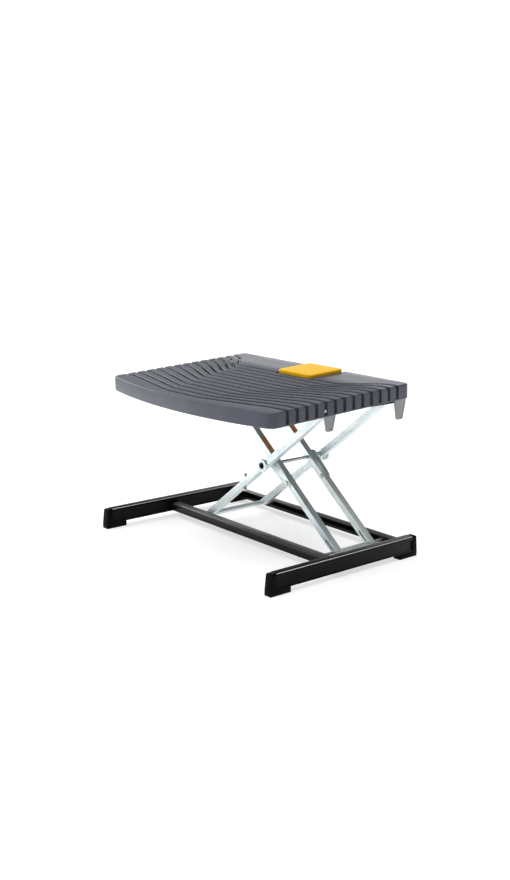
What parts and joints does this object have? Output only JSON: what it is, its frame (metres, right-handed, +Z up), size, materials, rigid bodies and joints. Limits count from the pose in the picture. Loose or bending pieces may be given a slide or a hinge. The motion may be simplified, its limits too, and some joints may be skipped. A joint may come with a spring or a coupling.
{
  "type": "footrest",
  "caption": "Foot-operated scissor-lift footrest: ribbed tilting plate with a yellow release pedal on crossed steel arms over two cross-railed feet.",
  "frame": {"origin": "middle of the bounding box, on the floor", "axes": "+X along the cross rails to the right, +Y from the plate's low front edge to the pedal, +Z up"},
  "size_m": [0.5168, 0.3848, 0.3369],
  "materials": {
    "black_coat": "satin black powder coat, light orange peel",
    "black_plastic": "moulded black plastic, fine grain",
    "rubber": "matt black rubber",
    "tab_plastic": "moulded grey plastic",
    "plate_plastic": "moulded slate grey plastic, fine grain, soft sheen",
    "pedal_plastic": "moulded yellow plastic, satin",
    "slide_plastic": "natural acetal plastic",
    "cylinder_coat": "semi-gloss black paint",
    "bright_steel": "ground bright steel",
    "bolt_steel": "zinc plated fastener",
    "zinc_steel": "zinc plated steel with faint blue passivation"
  },
  "bodies": {
    "base": {"foot_beam_left": "black_coat", "foot_beam_right": "black_coat", "foot_cap_front_left": "black_plastic", "foot_cap_front_right": "black_plastic", "foot_cap_rear_left": "black_plastic", "foot_cap_rear_right": "black_plastic", "foot_soles": "rubber", "lower_pivot_rod": "bright_steel", "lower_rail_front": "black_coat", "lower_rail_rear": "black_coat", "rod_anchors": "black_coat"},
    "inner_frame": {"axle_spacers": "zinc_steel", "inner_arm_front": "zinc_steel", "inner_arm_rear": "zinc_steel", "inner_lower_tube": "zinc_steel", "pivot_plates": "zinc_steel", "plate_bolts": "bolt_steel", "scissor_axle": "bright_steel"},
    "outer_frame": {"hub_caps": "black_plastic", "hub_front": "zinc_steel", "hub_rear": "zinc_steel", "outer_arm_front": "zinc_steel", "outer_arm_rear": "zinc_steel", "outer_cross_tube": "zinc_steel", "slide_pins": "bright_steel", "stop_nut": "bolt_steel", "stop_screw": "bolt_steel"},
    "lower_slides": {"lower_slide_blocks": "slide_plastic"},
    "upper_slides": {"carriage_axle": "bright_steel", "gas_piston": "bright_steel", "gas_rod": "bright_steel", "rod_eye": "zinc_steel", "upper_slide_blocks": "slide_plastic"},
    "top_frame": {"bridge_bar": "black_coat", "clevis_pin": "bright_steel", "crossbar": "black_coat", "end_tab_front_left": "tab_plastic", "end_tab_front_right": "tab_plastic", "end_tab_rear_left": "tab_plastic", "end_tab_rear_right": "tab_plastic", "gas_cylinder": "cylinder_coat", "gas_gland": "cylinder_coat", "lever_clamp": "zinc_steel", "lever_pin": "bright_steel", "spring_clevis": "zinc_steel", "tilt_bracket_left": "black_coat", "tilt_bracket_right": "black_coat", "tilt_pins": "bright_steel", "upper_anchors": "zinc_steel", "upper_pins": "bright_steel", "upper_rail_front": "black_coat", "upper_rail_rear": "black_coat", "valve_block": "cylinder_coat"},
    "plate": {"footplate": "plate_plastic", "pedal_pin": "bright_steel", "pedal_spring": "zinc_steel"},
    "pedal": {"pedal": "pedal_plastic"},
    "release_lever": {"release_lever": "zinc_steel"},
    "valve_button": {"valve_button": "bright_steel"}
  },
  "joints": [
    {"name": "height", "type": "hinge", "parent": "base", "child": "inner_frame", "pos_m": [0.19585, 0.08495, 0.0215], "axis": [0, 1, 0], "range_deg": [-19.8, 13.2]},
    {"name": "scissor_fold", "type": "hinge", "parent": "inner_frame", "child": "outer_frame", "pos_m": [0.02494, 0.08495, 0.15843], "axis": [0, 1, 0], "range_deg": [-26.4, 39.6]},
    {"name": "lower_slide_turn", "type": "hinge", "parent": "outer_frame", "child": "lower_slides", "pos_m": [-0.14598, 0.08495, 0.0215], "axis": [0, 1, 0], "range_deg": [-19.8, 13.2]},
    {"name": "top_level", "type": "hinge", "parent": "outer_frame", "child": "top_frame", "pos_m": [0.19585, 0.08495, 0.29536], "axis": [0, 1, 0], "range_deg": [-19.8, 13.2]},
    {"name": "upper_slide_turn", "type": "hinge", "parent": "inner_frame", "child": "upper_slides", "pos_m": [-0.14598, 0.08495, 0.29536], "axis": [0, 1, 0], "range_deg": [-13.2, 19.8]},
    {"name": "plate_tilt", "type": "hinge", "parent": "top_frame", "child": "plate", "pos_m": [0, -0.03836, 0.30313], "axis": [1, 0, 0], "range_deg": [0, 10]},
    {"name": "pedal_press", "type": "hinge", "parent": "plate", "child": "pedal", "pos_m": [0.016, 0.16722, 0.32781], "axis": [1, 0, 0], "range_deg": [0, 3.8], "stiffness_Nm_per_rad": 12, "springref_deg": -2.86, "deforming": ["pedal_spring"]},
    {"name": "lever_rock", "type": "hinge", "parent": "top_frame", "child": "release_lever", "pos_m": [0.13837, 0.08495, 0.27806], "axis": [0, 1, 0], "range_deg": [-2.57, 0]},
    {"name": "valve_push", "type": "slide", "parent": "top_frame", "child": "valve_button", "axis": [0, 0, 1], "range_m": [0, 0.00115]}
  ],
  "couplings": [
    {"joint": "scissor_fold", "follows": "height", "ratio": -2},
    {"joint": "lower_slide_turn", "follows": "height", "ratio": 1},
    {"joint": "top_level", "follows": "height", "ratio": 1},
    {"joint": "upper_slide_turn", "follows": "height", "ratio": -1},
    {"joint": "lever_rock", "follows": "pedal_press", "ratio": -0.67368},
    {"joint": "valve_push", "follows": "pedal_press", "m_per_rad": 0.016842}
  ]
}
